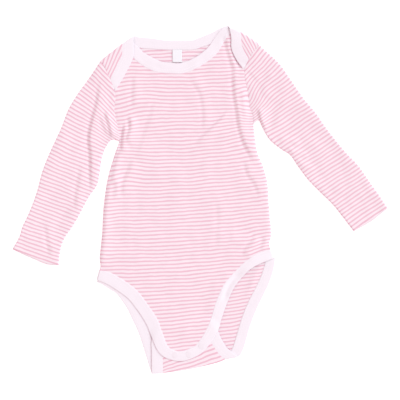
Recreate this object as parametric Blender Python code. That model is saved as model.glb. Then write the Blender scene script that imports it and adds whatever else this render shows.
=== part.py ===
"""A baby's long-sleeved bodysuit, laid flat on its back with the crotch closed.

The cloth lies in layers on the surface z = 0: the back, the front on it, and on the front the
back's two shoulder laps. The back's crotch flap turns up under the front, and three snaps hold it.
X runs across the garment, Y from the crotch to the neck and Z up, with the origin under its middle.
Sizes are in millimetres, and finish() turns them into metres. The back is cut flat, then turned
over its fold lines without stretching it, so its tables give each place as it lies in the end.
"""
import math
from collections import namedtuple

import bmesh
import bpy
from mathutils import Vector

MM = 0.001
CLOTH = 1.0                 # wall of the jersey pieces
BINDING = 2.0               # rib binding, folded over a raw edge
GAP = 0.3                   # clearance between neighbouring pieces
SNAP_RADIUS = 4.5
SNAP_HEIGHT = 1.0           # what a closed snap adds between flap and front

STEP = 5.0                  # spacing of points along an edge
CELL = 8.5                  # spacing of the front's mesh
BEND_STEPS = 6              # facets round a turned edge
FINE = 12                   # steps between two given points of a smooth curve
MERGE = 0.02                # a cut this near to a point goes through it
SHARP = 50.0                # degrees between two faces that are shaded apart
SLEEVE_STATIONS = 26
SLEEVE_POINTS = 18          # across each of a sleeve's two layers
SLEEVE_CORNER = 45.0        # degrees between the points round a sleeve's folded edge
SLEEVE_FADE = 0.2           # share of a sleeve's width over which its folds die out at each edge
SNAP_SEGMENTS = 16

# Heights of the middle of each cloth above the surface.
BACK_HEIGHT = CLOTH / 2
BACK_BINDING_LIFT = (BINDING - CLOTH) / 2
FRONT_HEIGHT = BINDING + GAP + BINDING / 2
LAP_HEIGHT = 3 * BINDING + 2 * GAP - CLOTH / 2
FLAP_HEIGHT = 2 * BINDING + 2 * GAP - CLOTH / 2
CROTCH_HEIGHT = FLAP_HEIGHT + CLOTH / 2 + GAP + SNAP_HEIGHT + GAP + BINDING / 2
SEAM_HEIGHT = CLOTH + GAP + CLOTH / 2
CROTCH_RAMP = (26.0, 90.0)  # distances above the crotch fold over which the front comes down
SIDE_ROUNDING = 5.0         # width over which the front comes down to its side seams
SHOULDER_CLEARANCE = 6.0    # how far the front stops inside the shoulder folds

STRIPED = (0.90, 0.70, 0.77)
WHITE = (0.95, 0.91, 0.94)

Place = namedtuple("Place", "x y")
Band = namedtuple("Band", "x y width")
Crease = namedtuple("Crease", "start middle end half_width height")

# ---------------------------------------------------------------- outlines
ARMHOLE_LEFT = [Place(*row) for row in (
    # x, y from the shoulder fold to the armpit
    (-125, 173), (-120.5, 166.5), (-113, 151), (-108, 139.5), (-106, 127), (-107.5, 113),
    (-104.5, 97), (-102, 86), (-101, 73))]
ARMHOLE_RIGHT = [Place(*row) for row in (
    (73.5, 194), (70, 188.8), (65, 183), (60, 174), (55, 163), (56, 150), (59.5, 134.5),
    (61.5, 117), (65, 107), (66.5, 94.5))]
SIDE_LEFT = [Place(*row) for row in (
    # x, y from the armpit to the leg binding
    (-101, 73), (-109, 49.5), (-115.5, 26), (-120.5, -6.5), (-122.5, -41.5),
    (-125.5, -72), (-124.5, -84))]
SIDE_RIGHT = [Place(*row) for row in (
    (66.5, 94.5), (69, 72), (72, 57), (79, 40), (84, 20), (86.5, -15),
    (89, -43), (86, -56))]

SLEEVE_LEFT_OUTER = [Place(*row) for row in (
    # x, y from the shoulder to the cuff
    (-125, 173), (-141, 149.5), (-153, 133), (-165, 113), (-174, 90), (-186.5, 63),
    (-197, 37.5), (-204.5, 10), (-213.5, -14.5), (-223, -35), (-226, -45.5), (-235, -62))]
SLEEVE_LEFT_UNDER = [Place(*row) for row in (
    # x, y from the armpit to the cuff
    (-101, 73), (-110.5, 74.5), (-117, 67), (-122.5, 54), (-126, 33), (-129.5, 17),
    (-139.5, 2.5), (-153, -23), (-160.5, -35.5), (-170.5, -50.5), (-175, -65.5),
    (-177, -82.5))]
SLEEVE_LEFT_CUFF = [Place(*row) for row in (
    (-235, -62), (-220, -69.5), (-200, -78), (-189.5, -81.5), (-177, -82.5))]
SLEEVE_RIGHT_OUTER = [Place(*row) for row in (
    (73.5, 194), (98.5, 171), (113, 151), (129.5, 127), (144, 110), (159, 88.5),
    (181, 61), (197.5, 43.5), (210, 26), (225, 4.5), (235, -11))]
SLEEVE_RIGHT_UNDER = [Place(*row) for row in (
    (66.5, 94.5), (73.5, 99), (78.5, 88.5), (87.5, 74), (101, 63), (113, 55),
    (122, 42), (135, 24.5), (149.5, 9.5), (168, -9), (192, -40))]
SLEEVE_RIGHT_CUFF = [Place(*row) for row in ((235, -11), (213, -28), (192, -40))]

# ---------------------------------------------------------------- bindings, along their middles
FRONT_NECK = [Band(*row) for row in (
    # x, y, width from the left shoulder to the right one
    (-91, 192, 13), (-82.5, 186, 13.5), (-75, 178, 14), (-62.5, 170.5, 14.5),
    (-49.5, 165.5, 13.5), (-34, 163.7, 13), (-20, 164.5, 13.5), (-3, 172, 13),
    (11, 182, 13.5), (19, 190.5, 14.5), (24.5, 201, 12), (30.5, 209, 9))]
BACK_LAP_LEFT = [Band(*row) for row in (
    # x, y, width on the left lap, from beyond its end up to the shoulder
    (-113, 137.5, 13.5), (-108, 146, 13.5), (-102.5, 155.5, 14.5), (-97.5, 165.5, 15), (-92.5, 175, 15),
    (-90.5, 185.5, 15.5))]
BACK_NECK = [Band(*row) for row in (
    (-80, 196.5, 13.5), (-72.5, 194.2, 12.5), (-55, 193.2, 12), (-37.5, 193, 12),
    (-10, 193.3, 12.2), (0, 196.5, 12.5), (10, 200, 13), (20, 204.5, 13), (29, 209.2, 13))]
BACK_LAP_RIGHT = [Band(*row) for row in (
    # x, y, width on the right lap, from the shoulder to beyond its end
    (44.3, 203, 12.5), (45, 191.5, 13.3), (47.5, 185, 14), (52, 177, 14), (58, 168, 13),
    (64, 159, 13))]
# The armhole seam across the end of each lap's binding, with the binding on its right.
LAP_END_LEFT = (Place(-113, 151), Place(-107.5, 139.5))
LAP_END_RIGHT = (Place(54.5, 164), Place(60, 174))

FRONT_LEG = [Band(*row) for row in (
    # x, y, width from the left side seam round the crotch to the right side seam
    (-128, -94.8, 12.5), (-118.1, -97.6, 15), (-106.4, -103.6, 15.5), (-86, -118.1, 15.5),
    (-72.8, -134.4, 15), (-61, -152.3, 15.5), (-54.4, -168.5, 15), (-45.8, -187.8, 14),
    (-33.5, -194.9, 12.7), (-20, -195.4, 12.8), (-3.1, -188.1, 12.5), (7, -176.5, 13),
    (15.8, -161.4, 14), (20, -149.4, 13), (25.3, -132.5, 13.5), (33.8, -112.3, 13.5),
    (41.9, -100.6, 12), (57.8, -84, 11.5), (71.9, -74.9, 13), (81.8, -71, 12.9),
    (90, -67.9, 12))]
BACK_LEG_LEFT = [Band(*row) for row in (
    # x, y, width from the left side seam down to the crotch fold
    (-127, -98, 12.5), (-118, -102, 13), (-108, -108.5, 13), (-99.6, -114.2, 13),
    (-86.2, -133, 13), (-79.2, -147.6, 13), (-71, -164.5, 13.5), (-63.4, -187.7, 13.5),
    (-57, -207, 14))]
BACK_FLAP = [Band(*row) for row in (
    # x, y, width on the flap as it lies turned up: left edge, top edge, right edge
    (-53.5, -207, 15), (-53.5, -190, 15), (-53.5, -178, 15), (-49.5, -169, 14),
    (-40, -164.5, 13), (-20, -161, 13), (0, -157.5, 13), (9, -158, 13),
    (15, -165, 13.5), (19, -175.5, 14), (25.5, -185.8, 13), (30.5, -192, 12.5))]
BACK_LEG_RIGHT = [Band(*row) for row in (
    # x, y, width from the crotch fold up to the right side seam
    (46, -189.5, 13.3), (51.5, -173.5, 13.5), (54.5, -163, 13.3), (59, -149, 13.5),
    (66, -132, 13.7), (75, -114, 13.3), (81, -101, 13), (86, -86, 12.5), (88.3, -72, 12))]

# ---------------------------------------------------------------- the largest folds of the cloth
FRONT_CREASES = [Crease(*row) for row in (
    # start, middle, end, half width, height of the ridge (a trough is below 0)
    ((43, 158), (47, 118), (52, 40), 9, 1.6),        # from the right lap down the chest
    ((56, 150), (57, 112), (60, 70), 7, -0.9),
    ((-14, 66), (17, 90), (44, 120), 9, 1.1),        # slanting up to that one
    ((-86, 52), (-66, 88), (-54, 118), 10, 1.3),     # fanning out of the left armpit
    ((-97, 82), (-88, 104), (-76, 124), 8, 1.2),
    ((-98, 60), (-90, 78), (-87, 100), 7, -0.9),
    ((-106, 48), (-108, 6), (-111, -40), 8, 1.0),    # down the left side
    ((52, -54), (68, -52), (84, -42), 7, 1.3),       # above the right leg
    ((58, -66), (70, -62), (84, -54), 6, -0.8))]
SLEEVE_LEFT_CREASES = [Crease(*row) for row in (
    ((-124, 140), (-136, 92), (-137, 24), 9, 1.5),   # along the sleeve from the cap
    ((-117, 124), (-113, 98), (-107, 80), 7, 1.4),   # into the armpit
    ((-148, 20), (-160, -8), (-176, -36), 10, 1.0),
    ((-222, -32), (-206, -44), (-186, -56), 8, 0.8))]
SLEEVE_RIGHT_CREASES = [Crease(*row) for row in (
    ((68, 106), (70, 126), (80, 146), 6, -1.2),      # into the armpit
    ((77, 104), (80, 126), (92, 148), 9, 1.5),
    ((100, 68), (112, 72), (126, 66), 7, 1.3),       # at the elbow
    ((114, 52), (124, 54), (136, 46), 7, 1.1),
    ((180, 34), (184, 14), (182, -8), 10, 1.0))]

LABEL = {"x": -29.0, "top": 186.4, "bottom": 171.8, "width": 12.0, "thickness": 0.8}
SNAPS = [Place(-32, -194.5), Place(-14.5, -193.8), Place(1.5, -183.8)]
BINDING_SECTION = (
    # across, up: fractions of the half width and of the half thickness
    (-1.0, -0.45), (-0.88, -1.0), (0.88, -1.0), (1.0, -0.45),
    (1.0, 0.45), (0.88, 1.0), (-0.88, 1.0), (-1.0, 0.45))


# ---------------------------------------------------------------- curves
def evenly(line, step):
    """The same line with evenly spaced points; a third number, such as a width, goes with them."""
    lengths = [0.0]
    for a, b in zip(line, line[1:]):
        lengths.append(lengths[-1] + (b.xy - a.xy).length)
    count = max(1, math.ceil(lengths[-1] / step))
    points = []
    piece = 0
    for i in range(count + 1):
        distance = lengths[-1] * i / count
        while piece < len(line) - 2 and lengths[piece + 1] < distance:
            piece += 1
        span = lengths[piece + 1] - lengths[piece]
        points.append(line[piece].lerp(line[piece + 1], (distance - lengths[piece]) / span))
    return points


def smooth(rows, step=STEP):
    """A smooth curve through the rows, with evenly spaced points."""
    knots = [Vector(row) for row in rows]
    knots = [2 * knots[0] - knots[1]] + knots + [2 * knots[-1] - knots[-2]]
    line = []
    for a, b, c, d in zip(knots, knots[1:], knots[2:], knots[3:]):
        for i in range(FINE):
            t = i / FINE
            line.append((2 * b + (c - a) * t + (2 * a - 5 * b + 4 * c - d) * t ** 2
                         + (3 * b - a - 3 * c + d) * t ** 3) / 2)
    line.append(knots[-2])
    return evenly(line, step)


def beside(line, distances):
    """A line moved to its left by each point's distance, or to its right if that is below 0."""
    moved = []
    for i, point in enumerate(line):
        along = (line[min(i + 1, len(line) - 1)].xy - line[max(i - 1, 0)].xy).normalized()
        moved.append(point.xy + Vector((-along.y, along.x)) * distances[i])
    return moved


def along(line, fraction):
    """The point at a fraction of an evenly spaced line."""
    place = min(max(fraction, 0.0), 1.0) * (len(line) - 1)
    piece = min(int(place), len(line) - 2)
    return line[piece].lerp(line[piece + 1], place - piece)


def trim(line, point, normal):
    """The part of a line that lies behind an upright plane."""
    kept = []
    for a, b in zip(line, line[1:] + line[-1:]):
        before, after = normal.dot(a - point), normal.dot(b - point)
        if before <= 0:
            kept.append(a)
        if before * after < 0:
            kept.append(a.lerp(b, before / (before - after)))
    return kept


def distance_along(point, line):
    """How far a point lies from a line, and at what fraction of it the nearest place is."""
    nearest = (math.inf, 0.0)
    for i, (a, b) in enumerate(zip(line, line[1:])):
        side = b - a
        t = min(max((point - a).dot(side) / side.length_squared, 0.0), 1.0)
        nearest = min(nearest, ((point - a - side * t).length, (i + t) / (len(line) - 1)))
    return nearest


def ease(t):
    """0 to 1 with soft ends."""
    t = min(max(t, 0.0), 1.0)
    return t * t * (3 - 2 * t)


# ---------------------------------------------------------------- turned edges of the back
class TurnedEdge:
    """A fold line of the back, with the turned cloth a given height above the rest."""

    def __init__(self, start, end, turned_height):
        direction = (Vector(end) - Vector(start)).normalized()
        self.origin = Vector(start)
        self.outward = Vector((-direction.y, direction.x))
        self.radius = (turned_height - BACK_HEIGHT) / 2
        self.inset = self.radius + CLOTH / 2      # the bend starts so far inside the fold line
        self.bend = math.pi * self.radius

    def inside(self, point):
        return -(Vector(point[:2]) - self.origin).dot(self.outward)

    def spread(self, point):
        """Where a point that lies on the turned cloth is when the cloth is spread flat."""
        flat = Vector(point)
        shift = self.outward * (2 * self.inside(point) + self.bend - 2 * self.inset)
        flat.x += shift.x
        flat.y += shift.y
        return flat

    def end_cut(self, seam):
        """The plane, as a point and a direction, of a seam across turned cloth, spread flat."""
        start, end = (self.spread(place) for place in seam)
        normal = Vector((start.y - end.y, end.x - start.x)).normalized()
        return start - normal * GAP, normal

    def lap_seam(self, armhole, corner):
        """A turned lap's edge along the armhole, spread flat, from the fold to a corner."""
        spread = [self.spread(point) for point in self.lying(armhole)]
        return [point for point in spread if self.inside(point) > self.inside(corner) + CLOTH]

    def lying(self, line):
        """The part of a line that lies inside the bend."""
        return [point for point in line if self.inside(point) > self.inset]

    def bend_lines(self):
        """Distances beyond the fold line of the lines along which the flat cloth bends."""
        return [self.bend * i / BEND_STEPS - self.inset for i in range(BEND_STEPS + 1)]

    def station(self, step, lift):
        angle = math.pi * step / BEND_STEPS
        return Vector(((self.radius - lift) * math.sin(angle),
                       self.radius - (self.radius - lift) * math.cos(angle)))

    def turn(self, point, lift):
        """A flat point, lifted off the cloth's middle, with the cloth turned over here."""
        beyond = self.inset - self.inside(point)
        if beyond <= 0:
            return None
        place = min(beyond / self.bend, 1.0) * BEND_STEPS
        step = min(int(place), BEND_STEPS - 1)
        out, up = self.station(step, lift).lerp(self.station(step + 1, lift), place - step)
        out -= max(beyond - self.bend, 0.0)
        start = point - self.outward * beyond
        return Vector((*(start + self.outward * out), BACK_HEIGHT + up))


SHOULDER_LEFT = TurnedEdge((-125, 173), (-86, 203), LAP_HEIGHT)
SHOULDER_RIGHT = TurnedEdge((40, 214.5), (73.5, 194), LAP_HEIGHT)
CROTCH = TurnedEdge((30, -201), (-60, -217), FLAP_HEIGHT)
TURNED_EDGES = (SHOULDER_LEFT, SHOULDER_RIGHT, CROTCH)


# ---------------------------------------------------------------- where each layer lies
armhole_left = smooth(ARMHOLE_LEFT)
armhole_right = smooth(ARMHOLE_RIGHT)
side_left = smooth(SIDE_LEFT)
side_right = smooth(SIDE_RIGHT)


def crease_lines(creases):
    return [(crease, smooth((crease.start, crease.middle, crease.end))) for crease in creases]


def crease_height(point, lines):
    """How far the folds raise the cloth at a point."""
    height = 0.0
    for crease, line in lines:
        distance, fraction = distance_along(point, line)
        fade = math.sqrt(max(math.sin(math.pi * fraction), 0.0))
        height += crease.height * fade * math.exp(-(distance / crease.half_width) ** 2)
    return height


front_creases = crease_lines(FRONT_CREASES)


def front_place(position):
    """Front bindings: on the back's bindings, and higher over the flap and the snaps."""
    point = position.xy
    start, end = CROTCH_RAMP
    drop = ease((CROTCH.inside(point) - start) / (end - start))
    height = CROTCH_HEIGHT + (FRONT_HEIGHT - CROTCH_HEIGHT) * drop
    height += crease_height(point, front_creases)
    return Vector((*point, height + position.z))


def front_panel_place(position):
    """Front panel: as its bindings, and down on the back's edge at the side seams."""
    place = front_place(position)
    edge = min(distance_along(position.xy, side_left)[0], distance_along(position.xy, side_right)[0])
    down = 1 - ease(edge / SIDE_ROUNDING)
    place.z += (SEAM_HEIGHT + position.z - place.z) * down
    return place


def back_place(position):
    """Back: flat on the surface, and turned over at the shoulders and the crotch."""
    for edge in TURNED_EDGES:
        turned = edge.turn(position.xy, position.z)
        if turned is not None:
            return turned
    return Vector((position.x, position.y, BACK_HEIGHT + position.z))


# ---------------------------------------------------------------- making the pieces
def finish(name, mesh, colour, place=None, roughness=0.9):
    """Moves each point to its place, in metres, and links the piece with its own material."""
    for vertex in mesh.verts:
        vertex.co = (place(vertex.co) if place else vertex.co) * MM
    bmesh.ops.recalc_face_normals(mesh, faces=mesh.faces)
    data = bpy.data.meshes.new(name)
    mesh.to_mesh(data)
    mesh.free()
    data.shade_smooth()
    data.set_sharp_from_angle(angle=math.radians(SHARP))
    piece = bpy.data.objects.new(name, data)
    bpy.context.scene.collection.objects.link(piece)
    material = bpy.data.materials.new(name)
    material.use_nodes = True
    shader = material.node_tree.nodes["Principled BSDF"]
    shader.inputs["Base Color"].default_value = (*colour, 1)
    shader.inputs["Roughness"].default_value = roughness
    shader.inputs["Metallic"].default_value = 0
    data.materials.append(material)


def cut(mesh, point, normal, remove=False):
    """Cuts a mesh along an upright plane; with remove, what lies beyond goes and the end closes."""
    everything = mesh.verts[:] + mesh.edges[:] + mesh.faces[:]
    result = bmesh.ops.bisect_plane(mesh, geom=everything, dist=MERGE, clear_outer=remove,
                                    plane_co=(*point, 0), plane_no=(*normal, 0))
    if remove:
        rim = [part for part in result["geom_cut"] if isinstance(part, bmesh.types.BMEdge)]
        bmesh.ops.holes_fill(mesh, edges=rim)


def cut_bends(mesh):
    """Cuts a flat piece of the back along the lines where it will bend."""
    for edge in TURNED_EDGES:
        for distance in edge.bend_lines():
            cut(mesh, edge.origin + edge.outward * distance, edge.outward)


def panel(outline, cell=None):
    """A flat piece of cloth of the given outline, divided into cells if it will not lie flat."""
    mesh = bmesh.new()
    corners = [mesh.verts.new((*point.xy, -CLOTH / 2)) for point in outline]
    face = mesh.faces.new(corners)
    if cell:
        bmesh.ops.inset_region(mesh, faces=[face], thickness=SIDE_ROUNDING, use_even_offset=True)
        for axis in (0, 1):
            low = min(point[axis] for point in outline)
            high = max(point[axis] for point in outline)
            normal = (1 - axis, axis)
            for i in range(1, math.ceil((high - low) / cell)):
                place = low + cell * i
                cut(mesh, (place * normal[0], place * normal[1]), normal)
    walls = bmesh.ops.extrude_face_region(mesh, geom=mesh.faces[:], use_keep_orig=True)
    top = [part for part in walls["geom"] if isinstance(part, bmesh.types.BMVert)]
    bmesh.ops.translate(mesh, verts=top, vec=(0, 0, CLOTH))
    return mesh


def strip(path, thickness, lift=0.0):
    """A folded band along a path of points (x, y, width)."""
    mesh = bmesh.new()
    rings = []
    sides = {across: beside(path, [across * point.z / 2 for point in path])
             for across in {section[0] for section in BINDING_SECTION}}
    for i in range(len(path)):
        rings.append([mesh.verts.new((*sides[across][i], lift + up * thickness / 2))
                      for across, up in BINDING_SECTION])
    for a, b in zip(rings, rings[1:]):
        for i in range(len(a)):
            j = (i + 1) % len(a)
            mesh.faces.new((a[i], a[j], b[j], b[i]))
    mesh.faces.new(rings[0])
    mesh.faces.new(rings[-1])
    return mesh


def sleeve(name, mouth, outer, under, cuff, creases):
    """A flattened tube of cloth from the armhole to the cuff, open at both ends."""
    mouth = smooth(mouth)
    outer = smooth(outer)
    under = smooth(under)
    cuff = smooth(cuff)
    lines = crease_lines(creases)
    middle = (BACK_HEIGHT + FRONT_HEIGHT) / 2
    fold = FRONT_HEIGHT + CLOTH / 2 - middle

    def plan(across, down):
        """Place between the four edges of the sleeve as it lies."""
        edges = along(outer, down).lerp(along(under, down), across)
        ends = along(mouth, across).lerp(along(cuff, across), down)
        corners = mouth[0].lerp(mouth[-1], across).lerp(cuff[0].lerp(cuff[-1], across), down)
        return edges + ends - corners

    # Each row of the section: fraction of the flat width, angle round the folded edge.
    under_side = [(i / (SLEEVE_POINTS - 1), -90.0) for i in range(SLEEVE_POINTS)]
    top_side = [(1 - fraction, 90.0) for fraction, _ in under_side]
    inner_fold = [(1.0, angle * SLEEVE_CORNER) for angle in (-1, 0, 1)]
    outer_fold = [(0.0, 180 + angle * SLEEVE_CORNER) for angle in (-1, 0, 1)]
    section = under_side + inner_fold + top_side + outer_fold

    mesh = bmesh.new()
    rings = []
    for station in range(SLEEVE_STATIONS + 1):
        down = station / SLEEVE_STATIONS
        width = (along(outer, down) - along(under, down)).length
        pair = []
        for radius in (fold, fold - CLOTH):
            ring = []
            for fraction, angle in section:
                turn = math.radians(angle)
                distance = fold + fraction * (width - 2 * fold) + radius * math.cos(turn)
                point = plan(distance / width, down)
                height = middle + radius * math.sin(turn)
                if angle == 90.0:
                    room = min(fraction, 1 - fraction) / SLEEVE_FADE
                    height += crease_height(point, lines) * min(room, 1.0)
                ring.append(mesh.verts.new((*point, height)))
            pair.append(ring)
        rings.append(pair)
    count = len(section)
    for i in range(count):
        j = (i + 1) % count
        for (outer_a, inner_a), (outer_b, inner_b) in zip(rings, rings[1:]):
            mesh.faces.new((outer_a[i], outer_a[j], outer_b[j], outer_b[i]))
            mesh.faces.new((inner_a[i], inner_b[i], inner_b[j], inner_a[j]))
        for outer_ring, inner_ring in (rings[0], rings[-1]):
            mesh.faces.new((outer_ring[i], inner_ring[i], inner_ring[j], outer_ring[j]))
    finish(name, mesh, STRIPED)


def edge_of(path, side):
    """The line along which a panel meets a binding on its left (1) or right (-1) side."""
    return beside(path, [side * (point.z / 2 + GAP) for point in path])


# ---------------------------------------------------------------- build
for stale in list(bpy.data.objects):
    bpy.data.objects.remove(stale, do_unlink=True)

front_neck = smooth(FRONT_NECK)
front_leg = smooth(FRONT_LEG)
back_neck = smooth([SHOULDER_LEFT.spread(row) for row in BACK_LAP_LEFT] + BACK_NECK
                   + [SHOULDER_RIGHT.spread(row) for row in BACK_LAP_RIGHT])
back_leg = smooth(BACK_LEG_LEFT + [CROTCH.spread(row) for row in BACK_FLAP] + BACK_LEG_RIGHT)

body_armhole_left = beside(armhole_left, [GAP] * len(armhole_left))
body_armhole_right = beside(armhole_right, [-GAP] * len(armhole_right))

# Front panel: neck, right armhole, right side, legs, left side, left armhole.
front_outline = edge_of(front_neck, -1)
front_outline += [p for p in body_armhole_right if SHOULDER_RIGHT.inside(p) > SHOULDER_CLEARANCE]
front_outline += side_right[1:]
front_outline += edge_of(front_leg, 1)[::-1]
front_outline += side_left[:0:-1]
front_outline += [p for p in body_armhole_left if SHOULDER_LEFT.inside(p) > SHOULDER_CLEARANCE][::-1]
finish("front_panel", panel(front_outline, CELL), STRIPED, front_panel_place)

# Back panel, spread flat: neck with its laps, right armhole and side, legs with the flap, left.
left_end = SHOULDER_LEFT.end_cut(LAP_END_LEFT)
right_end = SHOULDER_RIGHT.end_cut(LAP_END_RIGHT)
back_outline = trim(trim(edge_of(back_neck, -1), *left_end), *right_end)
left_seam = SHOULDER_LEFT.lap_seam(body_armhole_left, back_outline[0])
right_seam = SHOULDER_RIGHT.lap_seam(body_armhole_right, back_outline[-1])
back_outline += right_seam[::-1]
back_outline += SHOULDER_RIGHT.lying(body_armhole_right)
back_outline += side_right[1:]
back_outline += edge_of(back_leg, 1)[::-1]
back_outline += side_left[:0:-1]
back_outline += SHOULDER_LEFT.lying(body_armhole_left)[::-1]
back_outline += left_seam
back = panel(back_outline)
cut_bends(back)
finish("back_panel", back, STRIPED, back_place)

sleeve("sleeve_left", ARMHOLE_LEFT, SLEEVE_LEFT_OUTER, SLEEVE_LEFT_UNDER, SLEEVE_LEFT_CUFF,
       SLEEVE_LEFT_CREASES)
sleeve("sleeve_right", ARMHOLE_RIGHT, SLEEVE_RIGHT_OUTER, SLEEVE_RIGHT_UNDER,
       SLEEVE_RIGHT_CUFF, SLEEVE_RIGHT_CREASES)

finish("neck_binding_front", strip(front_neck, BINDING), WHITE, front_place)
finish("leg_binding_front", strip(front_leg, BINDING), WHITE, front_place)

neck = strip(back_neck, BINDING, BACK_BINDING_LIFT)
cut(neck, *left_end, remove=True)
cut(neck, *right_end, remove=True)
cut_bends(neck)
finish("neck_binding_back", neck, WHITE, back_place)

legs = strip(back_leg, BINDING, BACK_BINDING_LIFT)
cut_bends(legs)
finish("leg_binding_back", legs, WHITE, back_place)

label_path = [Vector((LABEL["x"], LABEL[end], LABEL["width"])) for end in ("top", "bottom")]
label_height = CLOTH + GAP + LABEL["thickness"] / 2
finish("label", strip(label_path, LABEL["thickness"], label_height), WHITE)

for number, place in enumerate(SNAPS, start=1):
    snap = bmesh.new()
    bmesh.ops.create_cone(snap, cap_ends=True, segments=SNAP_SEGMENTS, radius1=SNAP_RADIUS,
                          radius2=SNAP_RADIUS, depth=SNAP_HEIGHT)
    rims = [edge for edge in snap.edges if edge.calc_face_angle(0) > 1 and
            abs(edge.verts[0].co.z - edge.verts[1].co.z) < SNAP_HEIGHT / 2]
    bmesh.ops.bevel(snap, geom=rims, offset=SNAP_HEIGHT / 4, offset_type="OFFSET", segments=1,
                    profile=0.5, affect="EDGES", clamp_overlap=True, material=-1)
    height = FLAP_HEIGHT + CLOTH / 2 + GAP + SNAP_HEIGHT / 2
    bmesh.ops.translate(snap, verts=snap.verts, vec=(*place, height))
    finish(f"snap_{number}", snap, WHITE, roughness=0.4)
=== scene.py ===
"""A baby's long-sleeved bodysuit laid flat on its back, with the crotch closed: its looks.

The sections follow the garment as it is made: the back with its laps and flap, its bindings and
the label, the front and its bindings, the sleeves, the snaps, the sewing, and the room round it.
Sizes are in millimetres and become metres as each piece is finished. X runs across the garment, Y
from the crotch to the neck and Z up. A panel is cut flat first, and a function then lays it.
"""
import itertools
import math
from collections import namedtuple

import bmesh
import bpy
import numpy as np
from mathutils import Matrix, Vector, noise


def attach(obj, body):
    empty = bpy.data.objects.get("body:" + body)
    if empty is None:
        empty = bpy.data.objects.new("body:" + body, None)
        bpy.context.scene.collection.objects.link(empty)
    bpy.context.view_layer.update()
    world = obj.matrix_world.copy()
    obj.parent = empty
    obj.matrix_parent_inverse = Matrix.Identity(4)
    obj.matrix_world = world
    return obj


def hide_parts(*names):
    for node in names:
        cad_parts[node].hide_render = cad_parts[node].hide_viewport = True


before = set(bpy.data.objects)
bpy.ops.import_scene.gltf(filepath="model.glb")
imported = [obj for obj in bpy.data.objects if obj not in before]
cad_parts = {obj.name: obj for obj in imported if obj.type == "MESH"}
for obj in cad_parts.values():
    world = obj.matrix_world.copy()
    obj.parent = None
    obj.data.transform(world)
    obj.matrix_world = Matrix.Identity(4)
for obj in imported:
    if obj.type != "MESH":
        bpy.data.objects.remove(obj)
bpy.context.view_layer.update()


# ================================================================ back
# One piece of thin striped cotton jersey, with a lap at each shoulder and a flap at the crotch.
# It lies on the surface. The laps turn over the shoulders onto the front, and the flap turns up
# under the front's end. Its neck and leg edges run on inside the bindings.
MM = 0.001
JERSEY = 0.8                # thickness of the jersey
BACK_LIES = 0.4             # middle of the back's cloth above the surface
LAP_LIES = 4.8              # middle of a lap's cloth beside the shoulder fold
LAP_SINKS = (1.4, 8, 26)    # how far a lap then settles, from where, and over what length
FLAP_LIES = 2.8             # middle of the flap's cloth
BINDING = 1.45              # thickness of a folded binding with the jersey in it
EDGE_LIFT = 0.4             # how far a binding holds the back's edge off the surface
EDGE_LIFT_WIDTH = 6.0
FOLDS_STOP = (5, 10)        # how far from a binding the back's folds end, and over what length
TUCK = 3.0                  # how far a panel runs on inside its binding
BODY_DIP = 0.3              # depth of the groove along an armhole seam, in the body
SEAM_DIP_WIDTH = 2.5
SEAM_LAP = 0.6              # how far the body's cloth runs on past the armhole seam
STEP = 2.0                  # spacing of points along an edge
CELL = 2.0                  # spacing of the cloth's mesh
BEND_CUTS = 10              # facets round a turned edge
FINE = 12                   # steps between two given points of a smooth curve
MERGE = 0.01

ARMHOLE_LEFT = (
    # x, y from the shoulder fold to the armpit
    (-125, 173), (-120.5, 166.5), (-113, 151), (-108, 139.5), (-106, 127), (-107.5, 113),
    (-104.5, 97), (-102, 86), (-101, 73))
ARMHOLE_RIGHT = (
    (73.5, 194), (70, 188.8), (65, 183), (60, 174), (55, 163), (56, 150), (59.5, 134.5),
    (61.5, 117), (65, 107), (66.5, 94.5))
SIDE_LEFT = (
    # x, y from the armpit to the leg binding
    (-101, 73), (-109, 49.5), (-115.5, 26), (-120.5, -6.5), (-122.5, -41.5), (-125.5, -72),
    (-124.5, -84))
SIDE_RIGHT = (
    (66.5, 94.5), (69, 72), (72, 57), (79, 40), (84, 20), (86.5, -15), (89, -43), (86, -56))
BACK_LAP_LEFT = (
    # x, y, width of the binding on the left lap, from beyond its end up to the shoulder
    (-113, 137.5, 13.5), (-108, 146, 13.5), (-102.5, 155.5, 14.5), (-97.5, 165.5, 15),
    (-92.5, 175, 15), (-90.5, 185.5, 15.5))
BACK_NECK = (
    (-80, 197.3, 13.5), (-72.5, 196, 14), (-60, 195, 13.5), (-48, 193.6, 12.4), (-36, 193, 12),
    (-10, 193.3, 12.2), (0, 196.5, 12.5), (10, 200, 13), (20, 204.5, 13), (29, 209.2, 13))
BACK_LAP_RIGHT = (
    # x, y, width on the right lap, from the shoulder to beyond its end
    (44.3, 203, 12.5), (45, 191.5, 13.3), (47.5, 185, 14), (52, 177, 14), (58, 168, 13),
    (64, 159, 13))
BACK_LEG_LEFT = (
    # x, y, width from the left side seam down to the crotch fold
    (-127, -98, 12.5), (-118, -102, 13), (-108, -108.5, 13), (-99.6, -114.2, 13),
    (-86.2, -133, 13), (-79.2, -147.6, 13), (-71, -164.5, 13.5), (-63.4, -187.7, 13.5),
    (-57, -207, 14))
BACK_FLAP = (
    # x, y, width on the flap as it lies turned up: left edge, top edge, right edge
    (-53.5, -207, 15), (-53.5, -190, 15), (-53.5, -178, 15), (-49.5, -169, 14),
    (-40, -164.5, 13), (-20, -161, 13), (0, -157.5, 13), (9, -158, 13), (15, -165, 13.5),
    (19, -175.5, 14), (25.5, -185.8, 13), (30.5, -192, 12.5))
BACK_LEG_RIGHT = (
    # x, y, width from the crotch fold up to the right side seam
    (46, -189.5, 13.3), (51.5, -173.5, 13.5), (54.5, -163, 13.3), (59, -149, 13.5),
    (66, -132, 13.7), (75, -114, 13.3), (81, -101, 13), (86, -86, 12.5), (88.3, -72, 12))
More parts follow.
